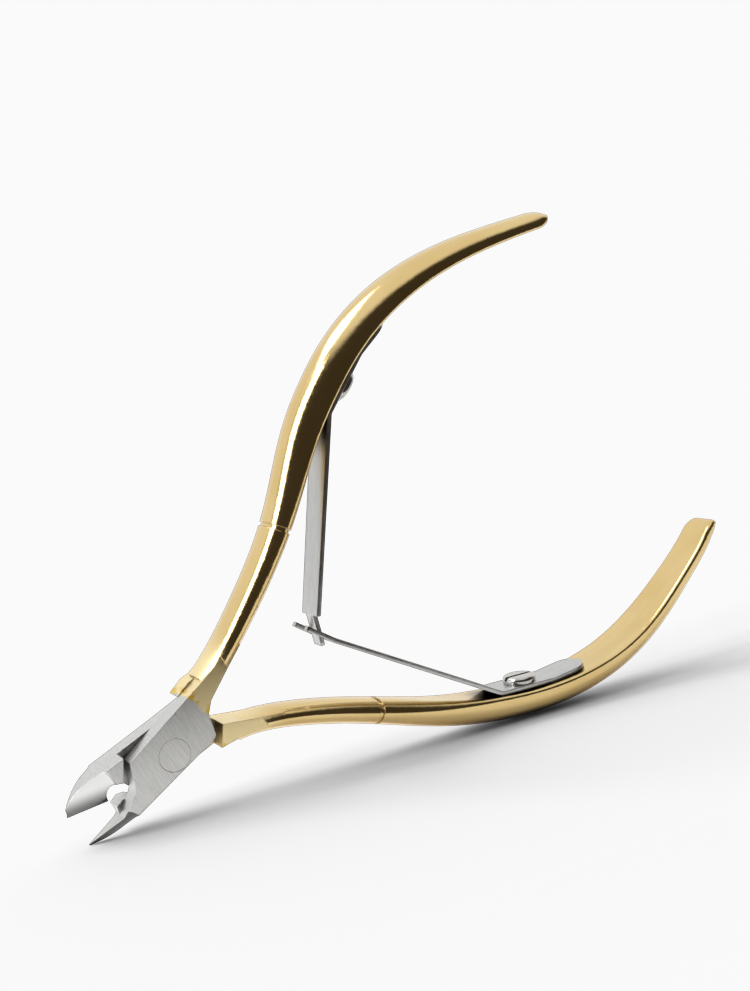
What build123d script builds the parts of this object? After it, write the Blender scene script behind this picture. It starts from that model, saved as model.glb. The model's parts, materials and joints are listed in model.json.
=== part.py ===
from build123d import *

import os
from math import cos, radians, sin

# Cuticle nipper with a lap joint, gold-plated handles and two hooked leaf springs.
#
# The tool is drawn part-open in its own plane: X runs from the pivot back to the handles,
# Z runs across the tool and Y is the pivot axis, with the front at -Y. At the end the whole
# tool is tilted and lifted, so that it stands on its lower jaw tip and lower handle.
# The front lever is the lower jaw and the upper handle; the rear lever is the other two.
# Sizes are millimetres.

# ---- driving dimensions ----
HEAD_HALF = 2.8          # half the thickness of the head along the pivot axis
LAP_GAP = 0.03           # each joint plate stops this far from the middle plane
CLOSE_ANGLE = 17.9       # turn of the front lever that brings the cutting edges together
LAND_GAP = 0.03          # what is left between the cutting edges when closed
RIVET_RADIUS = 2.15
RIVET_CLEARANCE = 0.03
STANCE_TILT = 25.4       # slope of the tool's long axis above the surface it stands on
FLAT_END = 12.2          # the head's side flats are ground back to here

# handles: the line of each flat inner face, as distance along the tool and out from its axis
UPPER_LINE = [(9.2, 3.2), (13.5, 4.8), (20.9, 8.3), (26.5, 11.4), (31.2, 14.6), (38.5, 20.9),
              (44.9, 25.2), (52.0, 28.4), (59.8, 30.1), (66.2, 30.3), (72.2, 29.7), (87.8, 26.1)]
LOWER_LINE = [(9.2, 2.1), (16.0, 5.2), (21.4, 8.9), (29.4, 15.4), (35.0, 20.2), (40.8, 24.4),
              (48.2, 28.5), (58.1, 32.0), (65.8, 32.9), (72.0, 32.3), (83.0, 29.3), (88.5, 27.1)]
SHANK_WIDTH = 6.3
PALM_WIDTH = 7.9
END_WIDTH = 5.8
ROOT_DEPTH = 2.9
SHANK_DEPTH = 4.1
END_DEPTH = 2.4
BAR_SECTIONS = 12
HANDLE_END = 2.6         # length of the rounded end of the handle
END_SHRINK = 0.95        # how much the section loses on every side over that end
UPPER_GROOVE_AT = 0.267  # where the decorative grooves run, as fractions of the handle lines
LOWER_GROOVE_AT = 0.243
GROOVE_WIDTH = 0.6
GROOVE_DEPTH = 0.25

# leaf springs
LEAF_THICKNESS = 0.6
LEAF_BASE_WIDTH = 5.4
LEAF_TIP_WIDTH = 4.6
TONGUE_WIDTH = 2.2
FORK_SLOT = 3.0
BASE_START = 43.0        # along the tool, where the leaf leaves the handle
BASE_END = 57.5          # and where its foot ends
LEAF_GAP = 0.04          # between the foot and the handle
LEAF_BEND = 1.0          # radius of each bend, at the leaf's middle
UPPER_LEAF_TIP = [(26.45, 2.0), (25.1, -2.2)]   # where the leaf narrows, and the tongue's end
LOWER_LEAF_TIP = [(26.6, -2.4), (24.2, 1.7)]    # where the fork starts, and the fork's end

# spring screws
SCREW_AT = 47.2
SCREW_HEAD_RADIUS = 2.4
SCREW_HEAD_HEIGHT = 1.0
SCREW_HEAD_ROUND = 0.55
SCREW_RADIUS = 1.0
SCREW_CLEARANCE = 0.02
SCREW_LENGTH = 2.6
SCREW_SLOT = 0.6

# jaws
WHEEL_RADIUS = 6.0       # of the grinding wheel that hollows each jaw's front and back
WHEEL_RUNOUT = 1.6       # rounding of the wheel's edge, left as a curve where the cut starts
REAR_TIP = (-15.6, 1.75)
REAR_HEEL = (-10.0, 0.6)

FRONT = -1
REAR = 1
CENTERED_UP = (Align.CENTER, Align.CENTER, Align.MIN)
CENTERED_DOWN = (Align.CENTER, Align.CENTER, Align.MAX)


# ---- small helpers ----
def turned(point, angle):
    """A point of the tool plane turned about the pivot, positive from the handles' side to +Z."""
    a = radians(angle)
    return (point[0] * cos(a) - point[1] * sin(a), point[0] * sin(a) + point[1] * cos(a))


def half_slab(edges, side):
    """A closed outline of the tool plane as a plate on one side of the middle plane."""
    layer = extrude(Plane.XZ * make_face(edges), HEAD_HALF - LAP_GAP)
    return Pos(0, -LAP_GAP if side == FRONT else HEAD_HALF, 0) * layer


def bridged_slab(edges, side):
    """The same plate with the lap gap behind it filled, where a lever is whole right through."""
    bridge = extrude(Plane.XZ * make_face(edges), 2 * LAP_GAP, both=True)
    return half_slab(edges, side) + bridge


def at(point, y=0.0):
    """A place in space from a point of the tool plane."""
    return Vector(point[0], y, point[1])


# ---- jaws: the cutting edges meet on one line when the tool is closed ----
FRONT_TIP = turned((REAR_TIP[0], REAR_TIP[1] - LAND_GAP), CLOSE_ANGLE)
FRONT_HEEL = turned((REAR_HEEL[0], REAR_HEEL[1] - LAND_GAP), CLOSE_ANGLE)


def hollow_wheel(start, end):
    """The cut of a round grinding wheel drawn along a line, with a rounded run-out at start."""
    length = (end - start).length * 2
    wheel = Cylinder(WHEEL_RADIUS, length, align=CENTERED_UP)
    wheel = fillet(wheel.edges().sort_by(Axis.Z)[0], WHEEL_RUNOUT)
    return Plane(origin=start, z_dir=(end - start).normalized()) * wheel


def rear_jaw_cuts():
    """Hollow grinding of the upper jaw's front, which carries the edge, and of its back."""
    front = hollow_wheel(Vector(-9.3, -7.9, 2.3), Vector(-15.6, -5.95, 2.75))
    back = hollow_wheel(Vector(-10.2, 7.6, 1.8), Vector(-15.6, 6.05, 2.6))
    return [front, back]


def front_jaw_cuts():
    """Hollow grinding of the lower jaw, whose edge runs from the front face to the tip."""
    front = hollow_wheel(Vector(-9.4, -8.1, -4.9), Vector(-15.5, -5.7, -5.2))
    back = hollow_wheel(Vector(-10.1, 6.9, -3.2), Vector(-15.5, 6.1, -3.15))
    return [front, back]


# ---- outlines of the two levers in the tool plane ----
def rear_flank():
    """Outer side and cutting line of the upper jaw, shared by both of its halves."""
    flank = ThreePointArc((-9.7, 4.3), (-13.1, 3.6), REAR_TIP)
    land = Line(REAR_TIP, REAR_HEEL)
    return [flank, land]


def rear_rear_half():
    """Rear lever behind the middle plane: upper jaw, lap plate and root of the lower handle."""
    top = Polyline((6.0, 1.6), (5.3, 3.9), (0.9, 3.95), (-9.7, 4.3))
    relief = ThreePointArc(REAR_HEEL, (-8.9, 2.1), (-7.2, 1.0))
    back = Polyline((-7.2, 1.0), (-6.2, -1.2), (-5.7, -3.05), (5.4, -3.35))
    under = Polyline((5.4, -3.35), (8.1, -3.95), (11.0, -4.9), (15.4, -6.9), (15.0, -5.3))
    inner = Polyline((15.0, -5.3), (11.2, -3.2), (7.4, -0.95), (6.0, 1.6))
    return [top, *rear_flank(), relief, back, under, inner]


def rear_front_half_jaw():
    """Front half of the upper jaw, up to the shoulder that the front plate closes against."""
    top = Line((-5.5, 4.15), (-9.7, 4.3))
    notch = ThreePointArc(REAR_HEEL, (-8.9, 1.95), (-7.3, 1.55))
    shoulder = Line((-7.3, 1.55), (-5.5, 4.15))
    return [top, *rear_flank(), notch, shoulder]


def rear_flange():
    """Front half of the rear lever's root, level with the front plate."""
    under = Polyline((7.4, -0.95), (5.55, -3.45), (8.1, -3.95), (11.0, -4.9), (15.4, -6.9))
    inner = Polyline((15.4, -6.9), (15.0, -5.3), (11.2, -3.2), (7.4, -0.95))
    return [under, inner]


def front_flank():
    """Outer side and cutting line of the lower jaw, shared by both of its halves."""
    belly = ThreePointArc((-10.1, -3.46), (-13.0, -3.6), FRONT_TIP)
    land = Line(FRONT_TIP, FRONT_HEEL)
    return [belly, land]


def front_front_half():
    """Front lever before the middle plane: lower jaw, ground plate and upper handle's root."""
    strip = Polyline((-5.2, 3.08), (8.5, 5.57), (11.0, 6.1), (13.0, 6.9), (15.6, 7.4), (15.2, 6.2))
    inner = Polyline((15.2, 6.2), (12.0, 4.7), (7.9, 2.7), (6.6, 1.4), (5.95, -1.2))
    corner = RadiusArc((5.95, -1.2), (5.2, -1.8), 0.8)
    under = Line((5.2, -1.8), (-10.1, -3.46))
    back = Spline([FRONT_HEEL, (-8.7, -1.75), (-6.7, -0.4), (-5.8, 1.6), (-5.2, 3.08)])
    return [strip, inner, corner, under, *front_flank(), back]


def front_rear_half_jaw():
    """Rear half of the lower jaw, with the low wall behind its heel."""
    under = Line((-6.2, -3.04), (-10.1, -3.46))
    wall = Polyline(FRONT_HEEL, (-9.45, -1.55), (-8.3, -1.25), (-7.4, -1.6), (-6.2, -3.04))
    return [under, *front_flank(), wall]


def front_flange():
    """Rear half of the front lever's root, level with the rear plate."""
    outer = Polyline((5.05, 5.04), (7.3, 5.65), (8.5, 5.57), (11.0, 6.1), (13.0, 6.9), (15.6, 7.4))
    inner = Polyline((15.6, 7.4), (15.2, 6.2), (12.0, 4.7), (7.9, 2.7), (7.3, 1.7), (5.05, 5.04))
    return [outer, inner]


# ---- handle bar, drawn above the axis for both handles ----
def bar_section(width, depth, roundness):
    """Section of the bar: flat inner face, rounded long edges and a crowned outer face."""
    half = width / 2
    edge_x = 0.5 + roundness * (half - 0.7)
    edge_y = 0.45 + roundness * (depth / 2 - 0.5)
    inner = Line((-half + edge_x, 0), (half - edge_x, 0))
    right = EllipticalCenterArc((half - edge_x, edge_y), edge_x, edge_y, 270, arc_size=90)
    outer = EllipticalCenterArc((0, edge_y), half, depth - edge_y, 0, arc_size=180)
    left = EllipticalCenterArc((-half + edge_x, edge_y), edge_x, edge_y, 180, arc_size=90)
    return make_face([inner, right, outer, left])


def handle_curve(side):
    return Plane.XZ * Spline(UPPER_LINE if side == FRONT else LOWER_LINE)


def handle_plane(curve, fraction):
    """Plane across the handle, its Y pointing out of the tool."""
    return Plane(origin=curve @ fraction, x_dir=(0, 1, 0), z_dir=curve % fraction)


def ease(low, high, value):
    """Rises smoothly from 0 at low to 1 at high."""
    step = min(max((value - low) / (high - low), 0.0), 1.0)
    return step * step * (3 - 2 * step)


def handle_size(fraction):
    """Width and depth of the bar at a fraction of the handle line."""
    width = SHANK_WIDTH + (PALM_WIDTH - SHANK_WIDTH) * ease(0.2, 0.62, fraction)
    width -= (PALM_WIDTH - END_WIDTH) * ease(0.7, 1.02, fraction)
    depth = ROOT_DEPTH + (SHANK_DEPTH - ROOT_DEPTH) * ease(-0.1, 0.5, fraction)
    depth -= (SHANK_DEPTH - END_DEPTH) * ease(0.55, 1.05, fraction)
    return width, depth


def handle_roundness(fraction):
    """The shank is nearly round; the palm part has a flat inner face."""
    return 0.95 * (1 - ease(0.22, 0.48, fraction))


def bar_slice(curve, fraction, shrink=0.0):
    """One section of the bar in place, shrunk towards its middle by a length."""
    width, depth = handle_size(fraction)
    face = bar_section(width - 2 * shrink, depth - 2 * shrink, handle_roundness(fraction))
    return handle_plane(curve, fraction) * Pos(0, shrink, 0) * face


def handle_bar(curve):
    """The bar from inside the root to its rounded end."""
    end = 1.0 - HANDLE_END / curve.length
    bar = loft([bar_slice(curve, end * index / BAR_SECTIONS) for index in range(BAR_SECTIONS + 1)])
    rounded = [(step, END_SHRINK * (1 - (1 - step * step) ** 0.5)) for step in (0, 0.4, 0.7, 0.9, 1)]
    cap = loft([bar_slice(curve, end + (1 - end) * step, shrink) for step, shrink in rounded])
    return bar + cap


def groove_cutter(curve, fraction):
    """A shallow ring groove round the bar: a slice of space less the bar's core."""
    core = extrude(bar_slice(curve, fraction, GROOVE_DEPTH), GROOVE_WIDTH, both=True)
    width, depth = handle_size(fraction)
    return handle_plane(curve, fraction) * Box(3 * width, 3 * depth, GROOVE_WIDTH) - core


def on_side(shape, side):
    """Places a shape drawn above the axis on the upper handle or on the lower one."""
    return shape if side == FRONT else Rot(180, 0, 0) * shape


def handle(side):
    """The whole handle with its groove, the side flats ground on it and its screw hole."""
    curve = handle_curve(side)
    bar = handle_bar(curve) - groove_cutter(curve, UPPER_GROOVE_AT if side == FRONT else LOWER_GROOVE_AT)
    for flat in (-1, 1):
        bar -= Pos(0, flat * (HEAD_HALF + 5), 0) * Box(2 * FLAT_END, 10, 40)
    return on_side(bar - screw_hole(curve), side)


# ---- what sits on the handle's inner face ----
def inner_face_plane(curve, along):
    """Plane on the handle's inner face at a distance along the tool, its Z pointing inwards."""
    low, high = 0.0, 1.0
    for _ in range(30):
        middle = (low + high) / 2
        if (curve @ middle).X < along:
            low = middle
        else:
            high = middle
    tangent = curve % low
    return Plane(origin=curve @ low, x_dir=tangent, z_dir=Vector(0, 1, 0).cross(tangent))


def leaf_foot(curve):
    """Middle line of a leaf's foot along the handle's inner face, from its end to the bend."""
    rise = LEAF_GAP + LEAF_THICKNESS / 2
    places = [BASE_END, 2 * SCREW_AT - BASE_START, BASE_START]
    faces = [inner_face_plane(curve, along) for along in places]
    return [face.origin + face.z_dir * rise for face in faces]


def screw_plane(curve):
    """Plane in the middle of the leaf's thickness at the screw, its Z pointing inwards."""
    foot = leaf_foot(curve)
    along = foot[1] - foot[2]
    return Plane(origin=(foot[1] + foot[2]) / 2, x_dir=along, z_dir=Vector(0, 1, 0).cross(along))


def screw_hole(curve):
    """Blind hole in the handle at the thread's outer size, a little deeper than the screw."""
    hole = Cylinder(SCREW_RADIUS + SCREW_CLEARANCE, SCREW_LENGTH + 0.1, align=CENTERED_DOWN)
    return screw_plane(curve) * hole


# ---- levers ----
def joint_bore(radius):
    return Cylinder(radius, 4 * HEAD_HALF, rotation=(90, 0, 0))


def front_lever():
    body = half_slab(front_front_half(), FRONT)
    body += bridged_slab(front_flange(), REAR) + bridged_slab(front_rear_half_jaw(), REAR)
    body -= front_jaw_cuts()
    body -= joint_bore(RIVET_RADIUS + RIVET_CLEARANCE)
    return body + handle(FRONT)


def rear_lever():
    body = half_slab(rear_rear_half(), REAR)
    body += bridged_slab(rear_flange(), FRONT) + bridged_slab(rear_front_half_jaw(), FRONT)
    body -= rear_jaw_cuts()
    body -= joint_bore(RIVET_RADIUS)
    return body + handle(REAR)


def pivot_rivet():
    """Headless rivet, ground flush with both faces of the head."""
    return Cylinder(RIVET_RADIUS, 2 * HEAD_HALF, rotation=(90, 0, 0))


# ---- springs ----
def leaf_strip(foot, tip):
    """The bent strip, one width all along: its side view thickened across the tool."""
    line = FilletPolyline(*foot, *tip, radius=LEAF_BEND)
    start = Plane(origin=line @ 0, x_dir=(0, 1, 0), z_dir=line % 0)
    return sweep(start * Rectangle(LEAF_BASE_WIDTH, LEAF_THICKNESS), path=line)


def leaf_taper(bend, tip):
    """What is cut from both sides of the free arm, so that it narrows towards its tip."""
    arm = tip - bend
    face = Plane(origin=bend, x_dir=arm, z_dir=arm.cross(Vector(0, 1, 0)))
    reach = arm.length + 2
    cuts = Part()
    for side in (-1, 1):
        wide = side * LEAF_BASE_WIDTH / 2
        narrow = side * LEAF_TIP_WIDTH / 2
        out = side * LEAF_BASE_WIDTH
        wedge = make_face([Polyline((0, wide), (reach, narrow), (reach, out), (0, out), (0, wide))])
        cuts += extrude(face * wedge, 4, both=True)
    return cuts


def foot_corners(foot):
    """What is cut from the foot's end to round it in plan."""
    along = foot[0] - foot[1]
    face = Plane(origin=foot[0], x_dir=along, z_dir=along.cross(Vector(0, 1, 0)))
    half = LEAF_BASE_WIDTH / 2
    square = Pos(-half / 2, 0, 0) * Box(half + 0.2, 3 * half, 4)
    return face * (square - Pos(-half, 0, 0) * Cylinder(half, 5))


def leaf(side, neck, end):
    """A leaf with its rounded foot, its screw hole and its tapered arm, before the hook is cut."""
    curve = handle_curve(side)
    foot = [Vector(point.X, 0, -side * point.Z) for point in leaf_foot(curve)]
    hole = screw_plane(curve) * Cylinder(SCREW_RADIUS + 0.1, 4)
    strip = leaf_strip(foot, [neck, end]) - leaf_taper(foot[-1], end)
    return strip - foot_corners(foot) - on_side(hole, side)


def upper_leaf():
    """The leaf that ends in a narrow tongue."""
    neck, end = at(UPPER_LEAF_TIP[0]), at(UPPER_LEAF_TIP[1])
    beside = Box(20, 6, 12, align=CENTERED_UP) - Box(TONGUE_WIDTH, 8, 30)
    return leaf(FRONT, neck, end) - Plane(origin=neck, x_dir=(0, 1, 0), z_dir=end - neck) * beside


def lower_leaf():
    """The leaf that ends in a fork, with the other leaf's tongue between its prongs."""
    neck, end = at(LOWER_LEAF_TIP[0]), at(LOWER_LEAF_TIP[1])
    slot = Box(FORK_SLOT, 6, 12, align=CENTERED_UP)
    return leaf(REAR, neck, end) - Plane(origin=neck, x_dir=(0, 1, 0), z_dir=end - neck) * slot


def spring_screw(side):
    """Round-headed slotted screw; its head sits on the leaf's foot."""
    head = Cylinder(SCREW_HEAD_RADIUS, SCREW_HEAD_HEIGHT, align=CENTERED_UP)
    head = fillet(head.edges().sort_by(Axis.Z)[-1], SCREW_HEAD_ROUND)
    head -= Pos(0, 0, SCREW_HEAD_HEIGHT) * Box(3 * SCREW_HEAD_RADIUS, SCREW_SLOT, SCREW_HEAD_HEIGHT)
    shank = Cylinder(SCREW_RADIUS, SCREW_LENGTH, align=CENTERED_DOWN)
    seat = LEAF_THICKNESS / 2 + SCREW_CLEARANCE
    return on_side(screw_plane(handle_curve(side)) * Pos(0, 0, seat) * (head + shank), side)


# ---- the stance: tilted, centred over the origin and set down on the floor ----
os.makedirs("parts", exist_ok=True)
nodes = {
    "front_lever": front_lever(),
    "rear_lever": rear_lever(),
    "pivot_rivet": pivot_rivet(),
    "upper_leaf_spring": upper_leaf(),
    "lower_leaf_spring": lower_leaf(),
    "upper_spring_screw": spring_screw(FRONT),
    "lower_spring_screw": spring_screw(REAR),
}
standing = {name: Rot(0, -STANCE_TILT, 0) * shape for name, shape in nodes.items()}
boxes = [shape.bounding_box() for shape in standing.values()]
low = [min(getattr(box.min, axis) for box in boxes) for axis in "XYZ"]
high = [max(getattr(box.max, axis) for box in boxes) for axis in "XYZ"]
lift = Pos(-(low[0] + high[0]) / 2, -(low[1] + high[1]) / 2, -low[2])
for name, shape in standing.items():
    placed = lift * shape
    print(name, placed.is_valid, round(placed.volume, 2), len(placed.solids()))
    export_step(placed, f"parts/{name}.step")
print("pivot at", [round(value, 3) for value in lift.position])
print("size", [round(b - a, 2) for a, b in zip(low, high)])
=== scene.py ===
# %% [markdown]
# # A cuticle nipper with gold-plated handles
#
# The real tool is two steel forgings that cross in a riveted lap joint. The jaws and the
# joint are bare brushed steel, and the handles are polished and plated with gold. Two leaf
# springs, hooked into each other at their tips, push the handles apart.
#
# The exact shapes of the forgings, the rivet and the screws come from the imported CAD
# model, so this file loads them, gives them finishes, and builds only what has to bend:
# the two leaf springs. Everything is in metres, in the frame of the CAD model.

import json
import math
from math import cos, radians, sin

import bmesh
import bpy
from mathutils import Matrix, Vector


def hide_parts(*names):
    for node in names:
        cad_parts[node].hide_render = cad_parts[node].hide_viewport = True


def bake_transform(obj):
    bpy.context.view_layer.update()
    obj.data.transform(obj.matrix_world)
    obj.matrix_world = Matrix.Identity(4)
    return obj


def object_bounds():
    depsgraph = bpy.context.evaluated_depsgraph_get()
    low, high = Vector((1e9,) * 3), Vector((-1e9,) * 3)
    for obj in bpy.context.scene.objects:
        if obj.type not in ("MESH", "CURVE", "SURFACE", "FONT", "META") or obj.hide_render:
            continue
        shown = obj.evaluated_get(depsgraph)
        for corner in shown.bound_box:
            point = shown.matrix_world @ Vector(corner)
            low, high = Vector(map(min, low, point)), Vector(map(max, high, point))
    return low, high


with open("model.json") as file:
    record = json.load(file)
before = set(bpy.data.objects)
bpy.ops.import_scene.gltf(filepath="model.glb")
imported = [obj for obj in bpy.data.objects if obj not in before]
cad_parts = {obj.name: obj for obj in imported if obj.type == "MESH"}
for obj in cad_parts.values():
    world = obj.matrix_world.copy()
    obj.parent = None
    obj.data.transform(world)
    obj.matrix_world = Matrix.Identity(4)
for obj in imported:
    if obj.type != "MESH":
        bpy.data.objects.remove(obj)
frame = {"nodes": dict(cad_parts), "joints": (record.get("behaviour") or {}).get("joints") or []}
CAD_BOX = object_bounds()
MM = 0.001
print("nodes:", sorted(frame["nodes"]))
print("CAD box:", [[round(v, 4) for v in corner] for corner in CAD_BOX])

# %% [markdown]
# ## The tool's own plane
#
# The nipper stands on its jaw tip and its lower handle, so its long axis slopes. It is much
# easier to think along the tool: how far from the pivot, and how far above the axis. One
# small function turns such a place into a place in the scene. The pivot is a joint of the
# model, so its place is read from there and not typed in again.

# %% Places along the tool
JOINTS = {joint["name"]: joint for joint in frame["joints"]}
PIVOT = Vector(JOINTS["pivot"]["pos_m"])
STANCE = radians(25.4)
TOOL_X = Vector((cos(STANCE), 0, sin(STANCE)))
TOOL_Z = Vector((-sin(STANCE), 0, cos(STANCE)))


def along_tool(x, z, y=0.0):
    """A scene place from millimetres along the tool, above its axis and back from its middle."""
    return PIVOT + (TOOL_X * x + TOOL_Z * z + Vector((0, y, 0))) * MM


print("pivot:", [round(v, 4) for v in PIVOT])

# %% [markdown]
# ## Node helpers
#
# A finish is a small network of shader nodes. Made by hand in the editor, each node is one
# drag and a few clicks. Made in code, it is one call: `node` adds a node, sets its sockets
# and draws the wires to it. The helpers after it name the few sums that come back often.

# %% One call per node
def new_material(name):
    material = bpy.data.materials.new(name)
    material.use_nodes = True
    material.node_tree.nodes.clear()
    return material


def node(tree, kind, properties=None, **sockets):
    """A new shader node. Each socket is told by its name, or by i and its number.

    It takes a number, a colour or another node's output."""
    made = tree.nodes.new(kind)
    for key, value in (properties or {}).items():
        setattr(made, key, value)
    for key, value in sockets.items():
        numbered = key[0] == "i" and key[1:].isdigit()
        socket = made.inputs[int(key[1:]) if numbered else key.replace("_", " ")]
        if isinstance(value, bpy.types.NodeSocket):
            tree.links.new(value, socket)
        else:
            socket.default_value = value
    return made


# %% Sums, steps and mixes
def arithmetic(tree, operation, *values):
    """A Math node on numbers or outputs."""
    sockets = {f"i{index}": value for index, value in enumerate(values)}
    return node(tree, "ShaderNodeMath", {"operation": operation}, **sockets).outputs[0]


def ramp(tree, value, low, high, to_low=0.0, to_high=1.0):
    """A smooth step of a value between two limits."""
    sockets = {"Value": value, "From_Min": low, "From_Max": high, "To_Min": to_low, "To_Max": to_high}
    return node(tree, "ShaderNodeMapRange", {"interpolation_type": "SMOOTHSTEP"}, **sockets).outputs[0]


def blend_numbers(tree, factor, first, second):
    """A mix of two numbers by a factor."""
    return node(tree, "ShaderNodeMix", i0=factor, i2=first, i3=second).outputs[0]


def blend_colours(tree, factor, first, second):
    """A mix of two colours by a factor."""
    return node(tree, "ShaderNodeMix", {"data_type": "RGBA"}, i0=factor, i6=first, i7=second).outputs[2]


# %% Places and grain for a finish
def tool_place(tree):
    """The place on the surface in tool millimetres: along the tool, across its plane, above its axis."""
    place = node(tree, "ShaderNodeTexCoord").outputs["Object"]
    from_pivot = node(tree, "ShaderNodeVectorMath", {"operation": "SUBTRACT"}, i0=place, i1=PIVOT)
    level = node(tree, "ShaderNodeVectorRotate", {"rotation_type": "Y_AXIS"},
                 Vector=from_pivot.outputs[0], Angle=STANCE)
    scaled = node(tree, "ShaderNodeVectorMath", {"operation": "SCALE"}, i0=level.outputs[0], Scale=1 / MM)
    return scaled.outputs[0]


def stretched_noise(tree, place, squeeze, detail=4.0, roughness=0.55):
    """Noise squeezed by a factor along each tool axis; its grain runs along the least squeezed one."""
    squeezed = node(tree, "ShaderNodeVectorMath", {"operation": "MULTIPLY"}, i0=place, i1=squeeze)
    noise = node(tree, "ShaderNodeTexNoise",
                 Vector=squeezed.outputs[0], Scale=1.0, Detail=detail, Roughness=roughness)
    return noise.outputs["Fac"]


# %% [markdown]
# ## The levers: bare steel and gold plating on one forging
#
# The head is masked off before plating, so the gold stops in a line just behind the joint.
# The line isn't clean: the plating bath creeps under the mask and leaves yellow stains. It
# could be done as two materials on two sets of faces, but then the border would follow the
# faces' edges. One material with a mask that reads the place on the surface lets the border
# run where the dipping line runs, with its stains.

# %% The border of the plating and its stains
BORDER_CREEP = 1.3
BORDER_FADE = (-0.06, 0.22)
STAIN_MIDDLE = 0.4
STAIN_REACH = (1.1, 0.3)
BLOT_EDGE = (0.46, 0.58)


def plating_masks(tree, place, axes, border):
    """Where the gold is and where it is stained; the border is its place at the axis and its two leans."""
    border_x, lean_y, lean_z = border
    leaning = arithmetic(tree, "MULTIPLY_ADD", axes[2], lean_z, border_x)
    leaning = arithmetic(tree, "MULTIPLY_ADD", axes[1], lean_y, leaning)
    past_border = arithmetic(tree, "SUBTRACT", axes[0], leaning)
    creep = arithmetic(tree, "SUBTRACT", stretched_noise(tree, place, (1.1, 1.1, 0.8), detail=3.0), 0.5)
    ragged = arithmetic(tree, "MULTIPLY_ADD", creep, BORDER_CREEP, past_border)
    from_stain = arithmetic(tree, "ABSOLUTE", arithmetic(tree, "SUBTRACT", ragged, STAIN_MIDDLE))
    blots = ramp(tree, stretched_noise(tree, place, (0.9, 0.9, 0.9), detail=2.0), *BLOT_EDGE)
    stain = arithmetic(tree, "MULTIPLY", ramp(tree, from_stain, *STAIN_REACH), blots)
    return ramp(tree, ragged, *BORDER_FADE), stain


print("the border of the plating wanders by", BORDER_CREEP / 2, "mm to each side")

# %% [markdown]
# The steel of the head was ground crosswise, so its marks run across the tool. They could
# be painted, but noise that is squeezed along the tool and stretched across it gives such
# marks everywhere, as fine ones with a few deeper scratches over them.

# %% Steel ground across the tool
STEEL = (0.70, 0.70, 0.69, 1)
STEEL_DARK = (0.48, 0.48, 0.48, 1)
SCRATCH = (0.85, 0.85, 0.84, 1)
SCRATCH_SHARE = 0.4
FINE_MARKS = (13.0, 3.0, 0.4)
COARSE_MARKS = (6.0, 1.4, 0.2)


def ground_steel(tree, place):
    """The steel's colour, its fine marks and its deeper scratches."""
    fine = stretched_noise(tree, place, FINE_MARKS, detail=6.0, roughness=0.7)
    scratches = ramp(tree, stretched_noise(tree, place, COARSE_MARKS, detail=2.0), 0.62, 0.72)
    colour = blend_colours(tree, ramp(tree, fine, 0.3, 0.7), STEEL_DARK, STEEL)
    colour = blend_colours(tree, arithmetic(tree, "MULTIPLY", scratches, SCRATCH_SHARE), colour, SCRATCH)
    return colour, fine, scratches


print("the fine marks are", round(FINE_MARKS[0] / FINE_MARKS[2]), "times as long as they are wide")

# %% [markdown]
# The handles were buffed before plating, so the gold mirrors, and shows only hair-fine marks
# along the handle and a slow drift of tone. Close to the head the wheel couldn't reach: there the
# gold keeps the grinding marks of the steel under it, and a painted sheen makes it paler.

# %% Buffed gold plating
GOLD = (0.78, 0.585, 0.275, 1)
GOLD_DEEP = (0.66, 0.46, 0.17, 1)
GOLD_PAINTED_SHEEN = (0.95, 0.80, 0.47, 1)
STAIN = (0.74, 0.47, 0.03, 1)
DEEP_SHARE, PAINTED_SHEEN_SHARE, STAIN_SHARE = 0.35, 0.7, 0.85
BUFFED_FROM, GROUND_UP_TO = 15.0, 10.5


def buffed_gold(tree, place, along, stain):
    """The gold's colour with a painted sheen near the head, its hair-fine marks, and how near the place is
    to the head.
    """
    hair = stretched_noise(tree, place, (0.5, 6.0, 6.0), detail=4.0)
    drift = stretched_noise(tree, place, (0.09, 0.2, 0.09), detail=2.0)
    colour = blend_colours(tree, ramp(tree, drift, 0.35, 0.65, 0.0, DEEP_SHARE), GOLD, GOLD_DEEP)
    near_head = ramp(tree, along, BUFFED_FROM, GROUND_UP_TO)
    # near the head a painted sheen makes the gold paler
    colour = blend_colours(tree, arithmetic(tree, "MULTIPLY", near_head, PAINTED_SHEEN_SHARE), colour, GOLD_PAINTED_SHEEN)
    colour = blend_colours(tree, arithmetic(tree, "MULTIPLY", stain, STAIN_SHARE), colour, STAIN)
    return colour, hair, near_head


print("the gold is fully buffed from", BUFFED_FROM, "mm behind the pivot")

# %% [markdown]
# The bevels beside the cutting edges were hollow-ground and polished. Their hollow mirrors the
# room as a band that is bright above and dark at the edge, and that reflection is painted into
# their colour. They could be picked out face by face, but they are the only faces of the jaws that
# face neither straight to the side nor along the tool, so the finish can find them by their
# direction. The cutting edge is a straight line, which tells how far a place is from it.

# %% Polished bevels beside the cutting edges, with their painted reflection
JAWS_FROM = (-5.0, -6.5)
BEVEL_REFLECTION_DARK = (0.13, 0.13, 0.13, 1)
BEVEL_REFLECTION_BRIGHT = (0.80, 0.80, 0.80, 1)
BEVEL_REFLECTION_FADE = (0.2, 2.4)
BEVEL_REFLECTION_SHARE = 0.9


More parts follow.
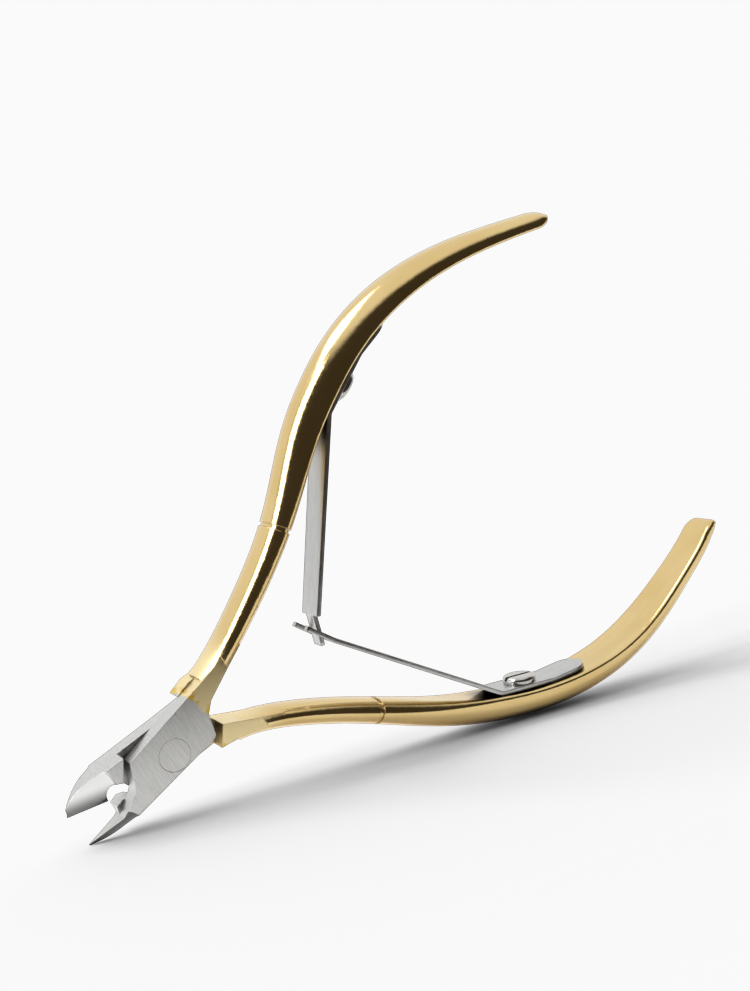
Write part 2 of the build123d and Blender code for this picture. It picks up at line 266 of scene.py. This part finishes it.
def polished_bevels(tree, axes, edge, metal_side):
    """Where the bevels are, and the reflection painted on them. The edge is the line z = edge[0] + edge[1] *
    x.
    """
    normal = node(tree, "ShaderNodeTexCoord").outputs["Normal"]
    facing = node(tree, "ShaderNodeSeparateXYZ", Vector=normal).outputs[1]
    sideways = arithmetic(tree, "ABSOLUTE", facing)
    slanted = arithmetic(tree, "MULTIPLY", ramp(tree, sideways, 0.995, 0.97), ramp(tree, sideways, 0.3, 0.5))
    polished = arithmetic(tree, "MULTIPLY", slanted, ramp(tree, axes[0], *JAWS_FROM))
    edge_height = arithmetic(tree, "MULTIPLY_ADD", axes[0], edge[1], edge[0])
    above_edge = arithmetic(tree, "SUBTRACT", axes[2], edge_height)
    from_edge = arithmetic(tree, "MULTIPLY", above_edge, metal_side)
    # the bevel's colour is a painted reflection, dark at the cutting edge and bright above it
    return polished, blend_colours(tree, ramp(tree, from_edge, *BEVEL_REFLECTION_FADE), BEVEL_REFLECTION_DARK, BEVEL_REFLECTION_BRIGHT)


print("the bevels start", -JAWS_FROM[0], "mm in front of the pivot")

# %% [markdown]
# Where two pieces meet, the narrow gaps lie in shade, and that shade is painted into the metal's
# colour. No real edge is perfectly sharp either: handling rounds it by a tenth of a millimetre or
# two, and the rounding catches the light as a thin rim. The CAD shapes are never changed, so both
# are done in the finish, where a shader node measures how close the next surface is and another
# one leans the surface's direction over at its edges.

# %% Painted shade in crevices, worn edges, and the end of a metal's network
PAINTED_CREVICE_SHADE = (0.02, 0.018, 0.015, 1)
PAINTED_SHADE_REACH = 2.2 * MM
MARK_DEPTH = 0.02 * MM


def painted_crevice_shade(tree, colour):
    """Paints shade into a colour where another surface is close."""
    occlusion = node(tree, "ShaderNodeAmbientOcclusion", {"samples": 6}, Distance=PAINTED_SHADE_REACH)
    return blend_colours(tree, ramp(tree, occlusion.outputs["AO"], 0.18, 0.62), PAINTED_CREVICE_SHADE, colour)


def worn_edges(tree, radius, height, strength):
    """The surface's direction with its sharp edges slightly rounded, then roughened by a height."""
    rounded = node(tree, "ShaderNodeBevel", {"samples": 4}, Radius=radius).outputs[0]
    relief = {"Strength": strength, "Distance": MARK_DEPTH, "Height": height, "Normal": rounded}
    return node(tree, "ShaderNodeBump", **relief).outputs[0]


def metal_surface(tree, colour, roughness, normal):
    """The metal shader and the output that every finish ends with."""
    # the colour gets painted shade in crevices, where another surface is close
    shader = node(tree, "ShaderNodeBsdfPrincipled", Base_Color=painted_crevice_shade(tree, colour),
                  Metallic=1.0, Roughness=roughness, Normal=normal)
    node(tree, "ShaderNodeOutputMaterial", Surface=shader.outputs[0])


# %% The lever's finish, put together
LEVER_EDGE_WEAR = 0.16 * MM
LEVER_MARKS = 0.28
BEVEL_ROUGHNESS = 0.13


def lever_material(name, border, edge, metal_side):
    """Steel head, gold handle; the metal is above the cutting edge (1) or below it (-1)."""
    material = new_material(name)
    tree = material.node_tree
    place = tool_place(tree)
    axes = node(tree, "ShaderNodeSeparateXYZ", Vector=place).outputs
    gold, stain = plating_masks(tree, place, axes, border)
    steel, fine, scratches = ground_steel(tree, place)
    plating, hair, near_head = buffed_gold(tree, place, axes[0], stain)
    polished, bevel_reflection = polished_bevels(tree, axes, edge, metal_side)
    # the bevels get their painted reflection
    steel = blend_colours(tree, arithmetic(tree, "MULTIPLY", polished, BEVEL_REFLECTION_SHARE), steel, bevel_reflection)
    colour = blend_colours(tree, gold, steel, plating)

    steel_rough = blend_numbers(tree, polished, ramp(tree, fine, 0.25, 0.75, 0.24, 0.40), BEVEL_ROUGHNESS)
    gold_rough = arithmetic(tree, "MULTIPLY_ADD", near_head, 0.2, ramp(tree, hair, 0.3, 0.7, 0.10, 0.17))
    rough = blend_numbers(tree, gold, steel_rough, gold_rough)
    ground = arithmetic(tree, "ADD", fine, scratches)
    buffed = arithmetic(tree, "MULTIPLY_ADD", near_head, fine, arithmetic(tree, "MULTIPLY", hair, 0.08))
    relief = blend_numbers(tree, gold, ground, buffed)
    metal_surface(tree, colour, rough, worn_edges(tree, LEVER_EDGE_WEAR, relief, LEVER_MARKS))
    return material


# %% Finish the two levers
LEVERS = {
    "front_lever": {"border": (6.575, -0.08, -0.25), "edge": (-1.423, 0.111), "metal_side": -1},
    "rear_lever": {"border": (5.0, 0.0, 0.0), "edge": (-1.454, -0.2054), "metal_side": 1},
}


def finish_node(name, material):
    """Gives a CAD node's object a material in each of its slots."""
    slots = frame["nodes"][name].material_slots
    for slot in slots:
        slot.material = material
    print(name, "takes", material.name, "in", len(slots), "slot(s)")


for lever, lines in LEVERS.items():
    finish_node(lever, lever_material(lever + "_metal", **lines))

# %% [markdown]
# ## Rivet, screws and springs: three more steels
#
# The rivet was ground off together with the plates, so it has the same marks, only a touch
# brighter. The screws are nickel-plated and polished. The springs are cut from rolled strip:
# satin faces with a grain that runs along the strip. The three differ only in numbers, so
# one function makes them all, and a table holds what differs.

# %% Finishes of the small steel pieces
SMALL_EDGE_WEAR = 0.08 * MM
ROUGHNESS_SPREAD = 0.06
SMALL_STEELS = {
    "rivet_metal": {"light": (0.72, 0.72, 0.71, 1), "dark": (0.50, 0.50, 0.50, 1),
                    "rough": 0.33, "grain": FINE_MARKS, "marks": 0.2},
    "screw_metal": {"light": (0.60, 0.59, 0.57, 1), "dark": (0.50, 0.49, 0.47, 1),
                    "rough": 0.17, "grain": (2.0, 2.0, 2.0), "marks": 0.05},
    "spring_metal": {"light": (0.60, 0.60, 0.60, 1), "dark": (0.48, 0.48, 0.48, 1),
                     "rough": 0.32, "grain": (0.5, 7.0, 0.5), "marks": 0.2},
}


def steel_material(name, light, dark, rough, grain, marks):
    """Grained steel; grain is how tightly the noise is squeezed along each tool axis."""
    material = new_material(name)
    tree = material.node_tree
    lines = stretched_noise(tree, tool_place(tree), grain, detail=5.0, roughness=0.65)
    colour = blend_colours(tree, ramp(tree, lines, 0.3, 0.7), dark, light)
    roughness = ramp(tree, lines, 0.25, 0.75, rough - ROUGHNESS_SPREAD, rough + ROUGHNESS_SPREAD)
    metal_surface(tree, colour, roughness, worn_edges(tree, SMALL_EDGE_WEAR, lines, marks))
    return material


small_steels = {name: steel_material(name, **looks) for name, looks in SMALL_STEELS.items()}
finish_node("pivot_rivet", small_steels["rivet_metal"])
for screw in ("upper_spring_screw", "lower_spring_screw"):
    finish_node(screw, small_steels["screw_metal"])

# %% [markdown]
# ## The camera
#
# Such a tool is best seen from a little above and from the side of the jaws, through a long
# lens, so that the handles keep their proportions. A camera could be aimed at a target, but
# then it can't roll. Giving its three axes says everything at once: what is to its right,
# what is up, and what lies behind it.

# %% Camera
HORIZONTAL_LENS = 69.28
SENSOR_WIDTH = 36
NEAREST_SEEN = 0.01
CAMERA_PLACE = PIVOT + Vector((-53.739, -177.586, 54.748)) * MM
CAMERA_RIGHT = Vector((0.87716, -0.46022, -0.13708))
CAMERA_UP = Vector((0.18426, 0.05896, 0.98111))
CAMERA_BACK = Vector((-0.44344, -0.88585, 0.13651))

lens = bpy.data.cameras.new("camera")
lens.sensor_fit = "HORIZONTAL"
lens.sensor_width = SENSOR_WIDTH
lens.lens = HORIZONTAL_LENS
lens.clip_start = NEAREST_SEEN
camera = bpy.data.objects.new("camera", lens)
camera_axes = Matrix((CAMERA_RIGHT, CAMERA_UP, CAMERA_BACK)).transposed().to_4x4()
camera.matrix_world = Matrix.Translation(CAMERA_PLACE) @ camera_axes
bpy.context.scene.collection.objects.link(camera)
bpy.context.scene.camera = camera
print("camera:", [round(v, 4) for v in camera.location])

# %% [markdown]
# ## The leaf springs
#
# A leaf starts as a flat blank: a rounded foot with a screw hole, and a long arm that
# narrows a little. One leaf ends in a tongue, the other in a fork that the tongue slips
# into. The blank is then bent twice, where it leaves the handle and just before its tip.
#
# The model below follows that order. It walks along the bent centre line and lays a row of
# five points across it at every step. Rows are joined into faces, but a column of faces is
# left out where there is metal missing: at the screw hole, beside the tongue, in the fork.
# The sheet then gets its thickness and softened edges, and has many short rows.

# %% Centre lines of the leaves, in tool millimetres: foot, flat, bend, neck and tip
LEAF_LINES = {
    "upper": [(57.557, 29.444), (51.514, 27.872), (43.178, 23.798), (26.45, 2.0), (25.1, -2.2)],
    "lower": [(57.581, -31.528), (51.526, -29.573), (43.172, -25.463), (26.6, -2.4), (24.2, 1.7)],
}
ROW_STEP = 0.5
BEND_RADIUS = 1.0
ARC_STEPS = 6


def rounded_line(corners, radius):
    """A polyline with an arc at every inner corner, as a list of close points."""
    points = [Vector(corners[0])]
    for before, corner, after in zip(corners, corners[1:], corners[2:]):
        corner = Vector(corner)
        back = (Vector(before) - corner).normalized()
        ahead = (Vector(after) - corner).normalized()
        half = back.angle(ahead) / 2
        middle = corner + (back + ahead).normalized() * radius / sin(half)
        reach = radius / math.tan(half)
        first, last = corner + back * reach - middle, corner + ahead * reach - middle
        turn = first.angle_signed(last)
        for step in range(ARC_STEPS + 1):
            points.append(middle + Matrix.Rotation(-turn * step / ARC_STEPS, 2) @ first)
    return points + [Vector(corners[-1])]


def evenly(points, step):
    """The same line with a point at least every step."""
    out = [points[0]]
    for start, end in zip(points, points[1:]):
        parts = max(1, math.ceil((end - start).length / step))
        out += [start.lerp(end, part / parts) for part in range(1, parts + 1)]
    return out


def nearest(points, target):
    """The number of the point that is nearest to a target."""
    target = Vector(target)
    return min(range(len(points)), key=lambda index: (points[index] - target).length)


for side, corners in LEAF_LINES.items():
    print(side, "leaf centre line:", len(evenly(rounded_line(corners, BEND_RADIUS), ROW_STEP)), "rows")

# %% Widths across a leaf
FOOT_HALF, TIP_HALF = 2.7, 2.3
HOLE_HALF = 1.1
BLUNT_FOOT = 0.5
INNER_SHARE = 0.6


def row_half_width(index, lengths, bend):
    """Round at the foot, one width to the bend, then narrowing to the tip."""
    if lengths[index] < FOOT_HALF:
        return max(math.sqrt(FOOT_HALF ** 2 - (FOOT_HALF - lengths[index]) ** 2), BLUNT_FOOT)
    if index <= bend:
        return FOOT_HALF
    past_bend, arm = lengths[index] - lengths[bend], lengths[-1] - lengths[bend]
    return FOOT_HALF + (TIP_HALF - FOOT_HALF) * past_bend / arm


def inner_half_width(index, half, bend, neck, end_half):
    """The inner columns are as wide as the screw hole up to the bend, then go over to the tip's width."""
    if index < bend:
        return min(HOLE_HALF, INNER_SHARE * half)
    return HOLE_HALF + (end_half - HOLE_HALF) * min((index - bend) / (neck - bend), 1.0)


print("a leaf is", 2 * FOOT_HALF, "mm wide at its foot and", 2 * TIP_HALF, "mm at its tip")

# %% Lay the rows and join them
def leaf_sheet(name, corners, end_half, end_columns):
    """The bent blank as a sheet; past its neck only end_columns of the four columns of faces go on."""
    points = evenly(rounded_line(corners, BEND_RADIUS), ROW_STEP)
    lengths = [0.0]
    for start, end in zip(points, points[1:]):
        lengths.append(lengths[-1] + (end - start).length)
    bend, neck = nearest(points, corners[2]), nearest(points, corners[3])
    screw = (Vector(corners[1]) + Vector(corners[2])) / 2
    shape = bmesh.new()
    rows = []
    for index, point in enumerate(points):
        half = row_half_width(index, lengths, bend)
        inner = inner_half_width(index, half, bend, neck, end_half)
        places = [along_tool(point.x, point.y, across) for across in (-half, -inner, 0, inner, half)]
        rows.append([shape.verts.new(place) for place in places])
    for index, (row, after) in enumerate(zip(rows, rows[1:])):
        middle = (points[index] + points[index + 1]) / 2
        columns = range(4)
        if index >= neck:
            columns = end_columns
        elif (middle - screw).length < HOLE_HALF:
            columns = (0, 3)
        for column in columns:
            shape.faces.new((row[column], row[column + 1], after[column + 1], after[column]))
    loose = [vertex for vertex in shape.verts if not vertex.link_faces]
    bmesh.ops.delete(shape, geom=loose, context="VERTS")
    bmesh.ops.recalc_face_normals(shape, faces=shape.faces)
    sheet = bpy.data.meshes.new(name)
    shape.to_mesh(sheet)
    shape.free()
    return sheet


# %% Thicken and soften
LEAF_THICKNESS = 0.6
EDGE_SOFTNESS = 0.09
SHARP_EDGE = radians(50)
SMOOTH_UP_TO = radians(35)


def apply_modifiers(made):
    """Bakes an object's modifiers into its mesh."""
    bpy.context.view_layer.update()
    evaluated = made.evaluated_get(bpy.context.evaluated_depsgraph_get())
    mesh = bpy.data.meshes.new_from_object(evaluated)
    made.modifiers.clear()
    made.data = mesh
    mesh.polygons.foreach_set("use_smooth", [True] * len(mesh.polygons))
    mesh.set_sharp_from_angle(angle=SMOOTH_UP_TO)


def leaf_piece(name, corners, end_half, end_columns):
    """One leaf: its sheet with thickness, soft edges and the springs' finish."""
    sheet = leaf_sheet(name, corners, end_half, end_columns)
    sheet.materials.append(small_steels["spring_metal"])
    made = bpy.data.objects.new(name, sheet)
    bpy.context.scene.collection.objects.link(made)
    solid = made.modifiers.new("thickness", "SOLIDIFY")
    solid.thickness = LEAF_THICKNESS * MM
    solid.offset = 0
    soft = made.modifiers.new("soft_edges", "BEVEL")
    soft.width = EDGE_SOFTNESS * MM
    soft.segments = 2
    soft.limit_method = "ANGLE"
    soft.angle_limit = SHARP_EDGE
    apply_modifiers(made)
    print(name, "has", len(made.data.vertices), "points")
    return made


# %% The two leaves: one with a tongue, one with a fork
TONGUE_HALF, FORK_HALF = 1.1, 1.5
TONGUE_COLUMNS, FORK_COLUMNS = (1, 2), (0, 3)
upper_leaf = leaf_piece("upper_leaf_strip", LEAF_LINES["upper"], TONGUE_HALF, TONGUE_COLUMNS)
lower_leaf = leaf_piece("lower_leaf_strip", LEAF_LINES["lower"], FORK_HALF, FORK_COLUMNS)

# %% [markdown]
# A squeezed leaf stays flat on its handle up to the bend and turns beyond it. The real one
# curves along its whole arm. Here each leaf only takes the place of its CAD node, which is hidden.


def tie_leaf(piece, node_name):
    """Bakes a leaf's place into its mesh and hides its CAD node, which the leaf stands in for."""
    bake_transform(piece)
    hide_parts(node_name)


tie_leaf(upper_leaf, "upper_leaf_spring")
tie_leaf(lower_leaf, "lower_leaf_spring")
print("joints that move the scene:", list(JOINTS))

# %% [markdown]
# ## The room
#
# A metal tool shows the room more than it shows itself. Behind the tool and above it the
# room is white paper, so the metal is bright at its edges. The front half, where the camera
# stands, is left dark, and draws the brown band down the polished handle. It could be built
# from cards and walls, but the world's colour can do the same by direction alone. The
# camera sees plain white wherever it looks.

# %% A room that is dark in front
PAPER_WHITE = (0.95, 0.95, 0.94, 1)
OPEN_DARK = (0.05, 0.042, 0.032, 1)
BACKGROUND = (0.955, 0.957, 0.955, 1)
OPEN_SIDE = Vector((-0.10, -0.95, -0.15)).normalized()
DARK_FROM = (-0.42, 0.02)
CEILING_FROM = (0.70, 0.90)


def paint_room():
    """The world's colour: dark towards the open side, white elsewhere and overhead."""
    world = bpy.data.worlds.new("room")
    world.use_nodes = True
    tree = world.node_tree
    tree.nodes.clear()
    direction = node(tree, "ShaderNodeTexCoord").outputs["Generated"]
    facing = node(tree, "ShaderNodeVectorMath", {"operation": "DOT_PRODUCT"}, i0=direction, i1=OPEN_SIDE)
    tone = blend_colours(tree, ramp(tree, facing.outputs["Value"], *DARK_FROM), PAPER_WHITE, OPEN_DARK)
    height = node(tree, "ShaderNodeSeparateXYZ", Vector=direction).outputs[2]
    tone = blend_colours(tree, ramp(tree, height, *CEILING_FROM), tone, PAPER_WHITE)
    seen = node(tree, "ShaderNodeLightPath").outputs["Is Camera Ray"]
    tone = blend_colours(tree, seen, tone, BACKGROUND)
    background = node(tree, "ShaderNodeBackground", Color=tone, Strength=1.0)
    node(tree, "ShaderNodeOutputWorld", Surface=background.outputs[0])
    bpy.context.scene.world = world


paint_room()
print("the room is darkest towards", [round(v, 2) for v in OPEN_SIDE])

# %% [markdown]
# ## The floor and the tent
#
# The tool stands on white paper that should show nothing but the shadow. Blender's shadow
# catcher does that. The paper's front edge lies close in front of the tool, because the
# steel plates mirror it, and what they show is part white paper and part dark room. The
# edges of such a sheet show as faint lines, so a second catcher goes round everything, a
# dome with a flat bottom that the camera sees and nothing else does.

# %% Paper that takes the shadow
PAPER = (0.93, 0.93, 0.925, 1)


def shadow_paper(name, shape, place):
    """Paper that shows nothing but the shadow that falls on it."""
    mesh = bpy.data.meshes.new(name)
    shape.to_mesh(mesh)
    shape.free()
    made = bpy.data.objects.new(name, mesh)
    made.location = place
    material = new_material(name + "_paper")
    tree = material.node_tree
    shader = node(tree, "ShaderNodeBsdfPrincipled", Base_Color=PAPER, Roughness=0.9)
    node(tree, "ShaderNodeOutputMaterial", Surface=shader.outputs[0])
    mesh.materials.append(material)
    bpy.context.scene.collection.objects.link(made)
    made.is_shadow_catcher = True
    return made


# %% The floor, level with the lowest point of the tool
FLOOR_HALF = 1.0
FLOOR_FRONT = -0.05
FLOOR_LEVEL = CAD_BOX[0][2]

floor_shape = bmesh.new()
bmesh.ops.create_grid(floor_shape, x_segments=8, y_segments=8, size=FLOOR_HALF)
floor = shadow_paper("floor", floor_shape, (0, FLOOR_HALF + FLOOR_FRONT, FLOOR_LEVEL))
print("floor level:", round(FLOOR_LEVEL, 5))

# %% The tent, with a flat bottom just under the floor
TENT_RADIUS = 3.0
TENT_DROP = 0.1 * MM
LIGHT_RAYS = ("diffuse", "glossy", "transmission", "volume_scatter", "shadow")


def raise_tent():
    """A dome for the camera alone; its wall glows evenly, so no grain shows on it."""
    shape = bmesh.new()
    bmesh.ops.create_uvsphere(shape, u_segments=48, v_segments=24, radius=TENT_RADIUS)
    for vertex in shape.verts:
        vertex.co.z = max(vertex.co.z, 0.0)
    # a sphere's faces come in no fixed order, so they are put in one
    shape.verts.index_update()
    count = len(shape.verts)
    shape.faces.sort(key=lambda face: face.verts[0].index * count + face.verts[2].index)
    tent = shadow_paper("tent", shape, (0, 0, FLOOR_LEVEL - TENT_DROP))
    wall = new_material("tent_wall")
    glow = node(wall.node_tree, "ShaderNodeEmission", Color=(1, 1, 1, 1), Strength=1.0)
    node(wall.node_tree, "ShaderNodeOutputMaterial", Surface=glow.outputs[0])
    tent.data.materials.append(wall)
    for face in tent.data.polygons:
        face.material_index = 1 if face.center.z > 0 else 0
    for rays in LIGHT_RAYS:
        setattr(tent, "visible_" + rays, False)
    return tent


tent = raise_tent()
print("tent radius:", TENT_RADIUS)

# %% [markdown]
# ## The lamps
#
# Two soft boxes light the tool. The tall one on the left is mirrored in the polished handle
# as the long white streak. The smaller one, high up and behind, throws the shadow forward
# and to the right. Soft boxes are rectangles of light, so area lamps stand for them.

# %% Two soft lamps
MIDDLE = (Vector(CAD_BOX[0]) + Vector(CAD_BOX[1])) / 2
LAMPS = {
    "streak_lamp": {"offset": (-0.74, -0.03, 0.36), "width": 0.32, "height": 0.8, "power": 4.4},
    "shadow_lamp": {"offset": (-0.29, 0.24, 0.66), "width": 0.42, "height": 0.30, "power": 1.9},
}


def lamp(name, offset, width, height, power):
    """A soft rectangular lamp, offset from the middle of the tool and pointed at it."""
    data = bpy.data.lights.new(name, "AREA")
    data.shape = "RECTANGLE"
    data.size = width
    data.size_y = height
    data.energy = power
    made = bpy.data.objects.new(name, data)
    made.location = MIDDLE + Vector(offset)
    made.rotation_euler = (MIDDLE - made.location).to_track_quat("-Z", "Y").to_euler()
    bpy.context.scene.collection.objects.link(made)
    print(name, "stands", round(Vector(offset).length, 2), "m from the tool")


for name, settings in LAMPS.items():
    lamp(name, **settings)
bpy.context.scene.view_settings.view_transform = "Standard"
